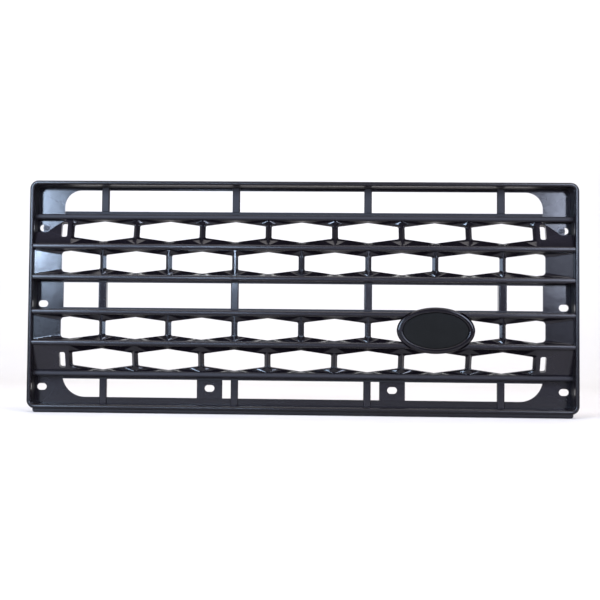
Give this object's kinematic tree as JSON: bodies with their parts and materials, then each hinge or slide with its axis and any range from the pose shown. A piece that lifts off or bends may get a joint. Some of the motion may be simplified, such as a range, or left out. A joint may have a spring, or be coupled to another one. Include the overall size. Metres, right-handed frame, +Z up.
{
  "type": "front grille",
  "caption": "Wide vehicle front grille with horizontal slats, rows of six-sided mesh, a slotted rear flange and an oval boss for a blank badge.",
  "frame": {"origin": "centre of the grille's box, screws included", "axes": "+X across the grille to the right seen from the front, -Y out of the front face, +Z up"},
  "size_m": [0.87, 0.042, 0.37],
  "materials": {
    "moulded_plastic": "satin moulded black",
    "badge_plastic": "smooth black",
    "adhesive_foam": "dark foam",
    "screw_steel": "dull zinc",
    "washer_steel": "bright zinc",
    "spring_steel": "phosphated spring steel"
  },
  "bodies": {
    "grille": {"surround": "moulded_plastic", "rear_frame": "moulded_plastic", "bracket_left": "moulded_plastic", "bracket_right": "moulded_plastic", "slat_1": "moulded_plastic", "slat_2": "moulded_plastic", "slat_3": "moulded_plastic", "slat_4": "moulded_plastic", "slat_5": "moulded_plastic", "slat_6": "moulded_plastic", "rib_top_1": "moulded_plastic", "rib_top_2": "moulded_plastic", "rib_top_3": "moulded_plastic", "rib_top_4": "moulded_plastic", "rib_mid_1": "moulded_plastic", "rib_mid_2": "moulded_plastic", "rib_mid_3": "moulded_plastic", "rib_mid_4": "moulded_plastic", "rib_low_1": "moulded_plastic", "rib_low_2": "moulded_plastic", "rib_low_3": "moulded_plastic", "rib_low_4": "moulded_plastic", "mesh_row_2": "moulded_plastic", "mesh_row_3": "moulded_plastic", "mesh_row_5": "moulded_plastic", "mesh_row_6": "moulded_plastic", "badge_boss": "moulded_plastic", "badge_plate": "badge_plastic", "badge_pad": "adhesive_foam", "spring_nut_left": "spring_steel", "spring_nut_right": "spring_steel"},
    "screw_left_body": {"screw_left": "screw_steel", "washer_left": "washer_steel"},
    "screw_right_body": {"screw_right": "screw_steel", "washer_right": "washer_steel"}
  },
  "joints": [
    {"name": "screw_left_turn", "type": "hinge", "parent": "grille", "child": "screw_left_body", "pos_m": [-0.4134, 0.014, 0.112], "axis": [0, 1, 0], "continuous": true},
    {"name": "screw_right_turn", "type": "hinge", "parent": "grille", "child": "screw_right_body", "pos_m": [0.4134, 0.014, 0.112], "axis": [0, 1, 0], "continuous": true}
  ]
}
